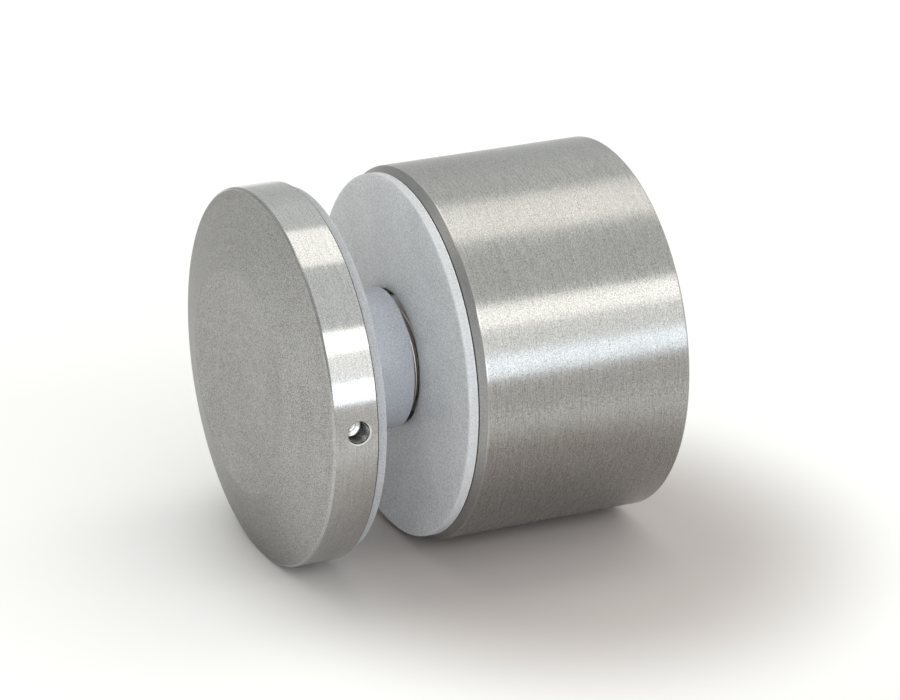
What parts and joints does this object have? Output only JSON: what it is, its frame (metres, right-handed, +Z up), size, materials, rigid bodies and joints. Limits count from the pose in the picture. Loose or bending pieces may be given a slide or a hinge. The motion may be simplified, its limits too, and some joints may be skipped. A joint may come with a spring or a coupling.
{
  "type": "railing point fixing",
  "caption": "Round stainless stand-off that clamps a drilled glass railing pane between two plastic gaskets under a screwed cap.",
  "frame": {"origin": "centre of the body's wall face, at the mouth of the wall screw's hole", "axes": "-Y points from the wall to the cap along the turning axis, +Z is up, +X is to the right as seen from the cap's side"},
  "size_m": [0.05, 0.0531, 0.05],
  "materials": {
    "body_steel": "turned and brushed round the axis",
    "cap_steel": "fine turned rim, ground face",
    "stud_steel": "bright rolled thread",
    "gasket_plastic": "milky translucent soft plastic",
    "bush_plastic": "milky translucent moulded plastic"
  },
  "bodies": {
    "wall_side": {"standoff_body": "body_steel", "body_gasket": "gasket_plastic"},
    "glass_side": {"cap_gasket": "gasket_plastic", "glass_bush": "bush_plastic"},
    "cap_side": {"cap": "cap_steel", "threaded_stud": "stud_steel"}
  },
  "joints": [
    {"name": "cap_travel", "type": "slide", "parent": "wall_side", "child": "glass_side", "axis": [0, -1, 0], "range_m": [-0.00075, 0.0081]},
    {"name": "cap_turn", "type": "hinge", "parent": "glass_side", "child": "cap_side", "pos_m": [0, -0.04685, 0], "axis": [0, -1, 0], "range_deg": [-126, 1440]}
  ],
  "couplings": [
    {"joint": "cap_travel", "follows": "cap_turn", "m_per_rad": 0.00031831}
  ]
}
